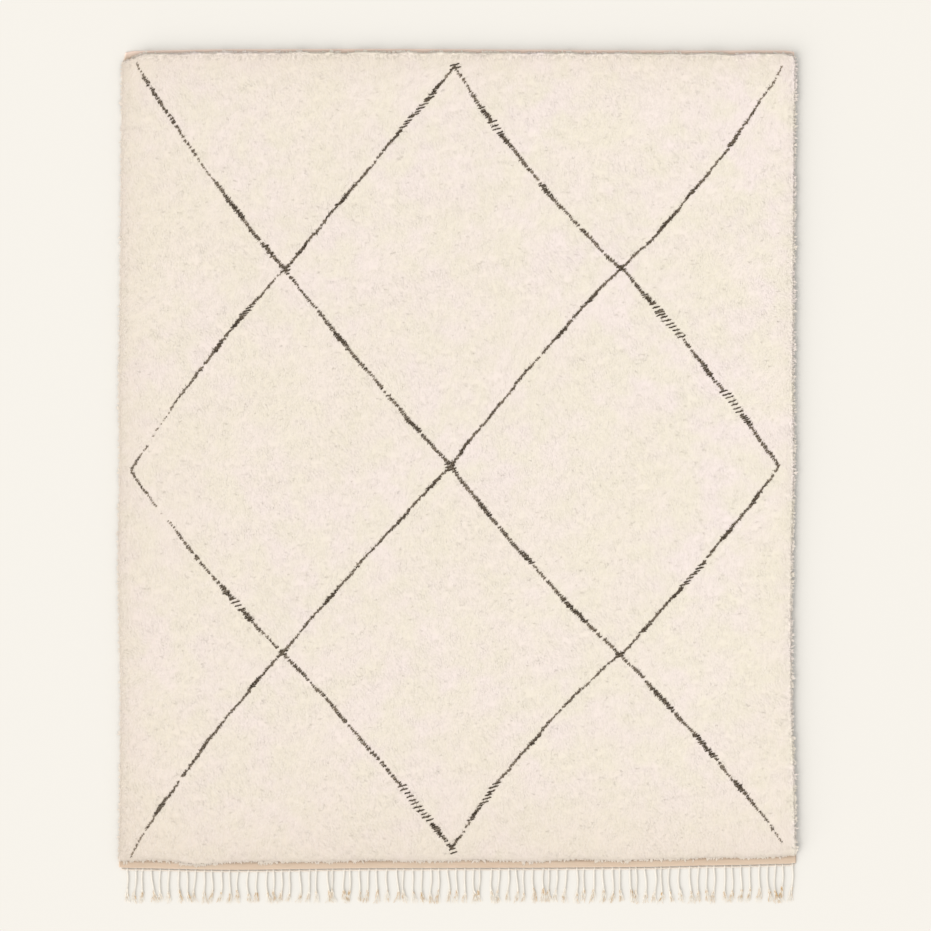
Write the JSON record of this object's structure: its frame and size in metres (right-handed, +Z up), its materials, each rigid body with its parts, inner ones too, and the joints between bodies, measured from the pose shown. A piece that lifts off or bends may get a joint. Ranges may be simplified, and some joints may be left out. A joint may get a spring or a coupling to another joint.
{
  "type": "beni ourain rug",
  "caption": "Flat hand-knotted wool pile rug, ivory with a lattice of dark open diamonds, a flat-woven band at each end and a warp fringe at one end.",
  "frame": {"origin": "on the floor, under the middle of the whole rug with its fringe", "axes": "+X across the width to the right, +Y along the length from the fringed foot to the head, +Z up out of the pile"},
  "size_m": [2.068, 2.609, 0.025],
  "materials": {
    "ivory_wool": "soft matt wool pile",
    "dark_wool": "soft matt wool pile, dark brown to charcoal",
    "band_wool": "matt flat weave",
    "warp_yarn": "matt plied yarn"
  },
  "bodies": {
    "root": {"rug": "ivory_wool", "fringe": "warp_yarn"}
  },
  "joints": []
}
